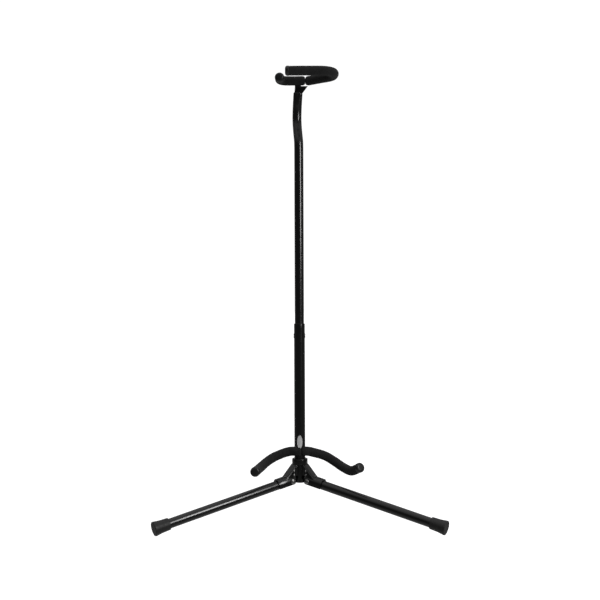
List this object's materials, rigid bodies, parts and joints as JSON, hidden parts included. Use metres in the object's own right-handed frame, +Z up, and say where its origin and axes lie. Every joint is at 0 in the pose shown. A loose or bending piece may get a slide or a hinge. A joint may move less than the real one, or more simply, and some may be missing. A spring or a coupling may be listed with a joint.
{
  "type": "instrument stand",
  "caption": "Folding tripod stand for an upright instrument, with a telescoping column, a foam-padded cradle below and an open hooked yoke on top.",
  "frame": {"origin": "on the floor, under the middle of the standing stand's bounding box", "axes": "+Z up, -Y towards the front (the open side of the cradle and yoke), +X to the right seen from the front"},
  "size_m": [0.4788, 0.4166, 0.7683],
  "materials": {
    "black_paint": "gloss",
    "foam": "matte cellular foam",
    "rubber": "satin",
    "black_plastic": "gloss",
    "rivet_steel": "plated",
    "zinc_steel": "zinc plated",
    "badge": "satin",
    "brass": "turned",
    "nylon": "moulded"
  },
  "bodies": {
    "base": {"hub_core": "black_paint", "hub_collar": "black_paint", "hub_plug": "black_plastic", "lower_tube": "black_paint", "badge_plate": "badge", "clamp_boss": "black_paint", "cradle_rod": "black_paint", "cradle_foam_left": "foam", "cradle_foam_right": "foam", "cradle_cap_left": "black_plastic", "cradle_cap_right": "black_plastic", "leg_bracket_left": "black_paint", "leg_pivot_left": "rivet_steel", "bracket_rivet_left_upper": "rivet_steel", "bracket_rivet_left_lower": "rivet_steel", "leg_bracket_right": "black_paint", "leg_pivot_right": "rivet_steel", "bracket_rivet_right_upper": "rivet_steel", "bracket_rivet_right_lower": "rivet_steel", "leg_bracket_rear": "black_paint", "leg_pivot_rear": "rivet_steel", "bracket_rivet_rear_upper": "rivet_steel", "bracket_rivet_rear_lower": "rivet_steel"},
    "leg_left": {"leg_tube_left": "black_paint", "foot_left": "rubber"},
    "leg_right": {"leg_tube_right": "black_paint", "foot_right": "rubber"},
    "leg_rear": {"leg_tube_rear": "black_paint", "foot_rear": "rubber"},
    "clamp_pad": {"pressure_pad": "brass"},
    "clamp_knob": {"clamp_screw": "zinc_steel", "clamp_knob": "black_plastic"},
    "guide": {"guide_plug": "nylon"},
    "mast": {"upper_tube": "black_paint", "yoke_saddle": "black_paint", "yoke_rod": "black_paint", "yoke_foam_short": "foam", "yoke_foam_long": "foam", "yoke_cap_short": "black_plastic", "yoke_cap_long": "black_plastic"}
  },
  "joints": [
    {"name": "leg_fold_left", "type": "hinge", "parent": "base", "child": "leg_left", "pos_m": [-0.01689, -0.07326, 0.0608], "axis": [0.5, -0.866, 0], "range_deg": [0, 78]},
    {"name": "leg_fold_right", "type": "hinge", "parent": "base", "child": "leg_right", "pos_m": [0.01689, -0.07326, 0.0608], "axis": [0.5, 0.866, 0], "range_deg": [0, 78]},
    {"name": "leg_fold_rear", "type": "hinge", "parent": "base", "child": "leg_rear", "pos_m": [0, -0.04401, 0.0608], "axis": [-1, 0, 0], "range_deg": [0, 78]},
    {"name": "mast_slide", "type": "slide", "parent": "base", "child": "guide", "axis": [0, 0, 1], "range_m": [-0.135, 0.02]},
    {"name": "mast_swivel", "type": "hinge", "parent": "guide", "child": "mast", "pos_m": [0, -0.06352, 0.258], "axis": [0, 0, 1], "continuous": true},
    {"name": "pad_travel", "type": "slide", "parent": "base", "child": "clamp_pad", "axis": [0, 1, 0], "range_m": [0, 0.001]},
    {"name": "knob_turn", "type": "hinge", "parent": "clamp_pad", "child": "clamp_knob", "pos_m": [0, -0.06352, 0.3117], "axis": [0, 1, 0], "range_deg": [0, 360]}
  ],
  "couplings": [
    {"joint": "knob_turn", "follows": "pad_travel", "rad_per_m": 6283.2}
  ]
}
